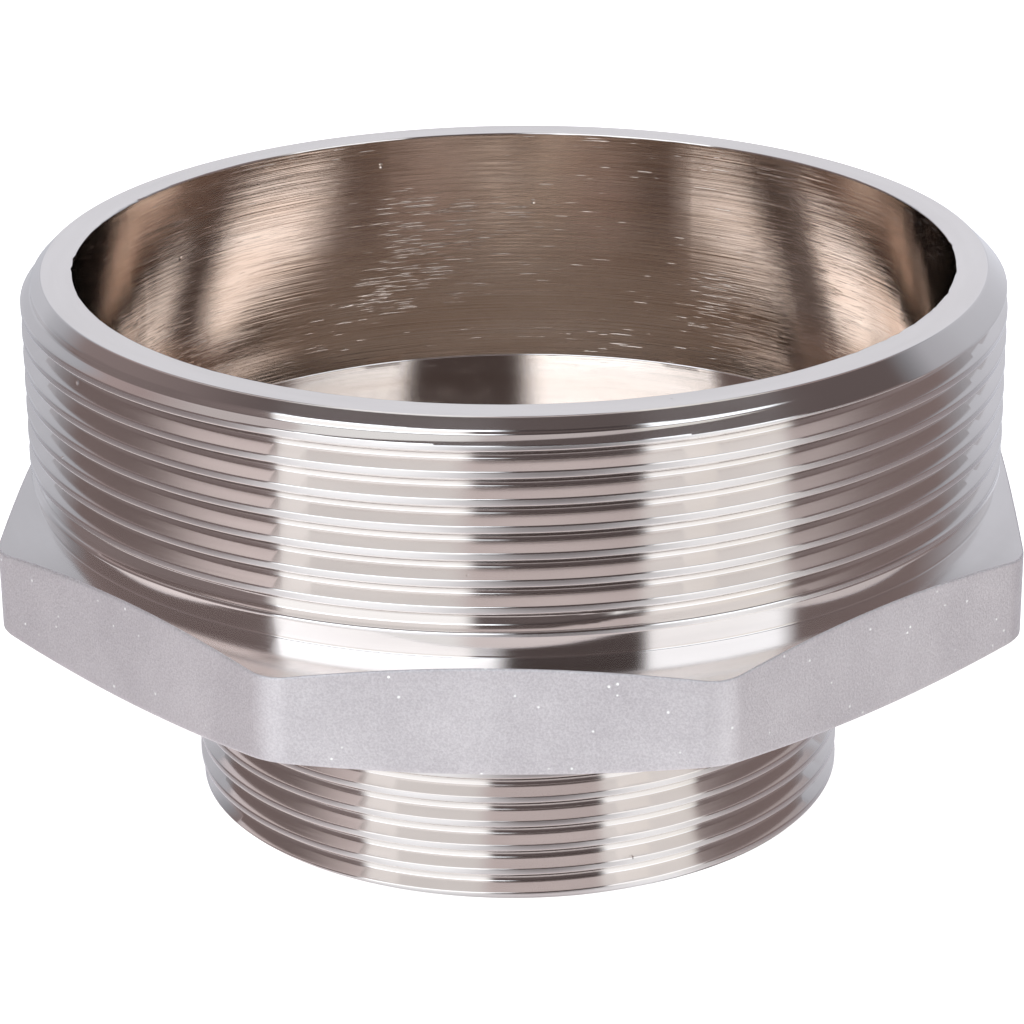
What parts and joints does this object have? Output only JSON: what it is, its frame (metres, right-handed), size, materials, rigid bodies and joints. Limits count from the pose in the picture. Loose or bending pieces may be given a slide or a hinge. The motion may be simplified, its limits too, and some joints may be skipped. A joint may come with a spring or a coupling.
{
  "type": "reducing nipple",
  "caption": "Male reducing pipe nipple: large and small parallel threads on one axis, an eight-sided wrench collar between them and a stepped through bore.",
  "frame": {"origin": "centre of the small end face, on the bore axis", "axes": "+Z along the bore from the small end to the large end; +X and +Y are each square to a pair of collar flats"},
  "size_m": [0.0896, 0.0896, 0.0493],
  "materials": {
    "plated_brass": "nickel-plated, turned bright with blasted collar flats"
  },
  "bodies": {
    "root": {"nipple_body": "plated_brass"}
  },
  "joints": []
}
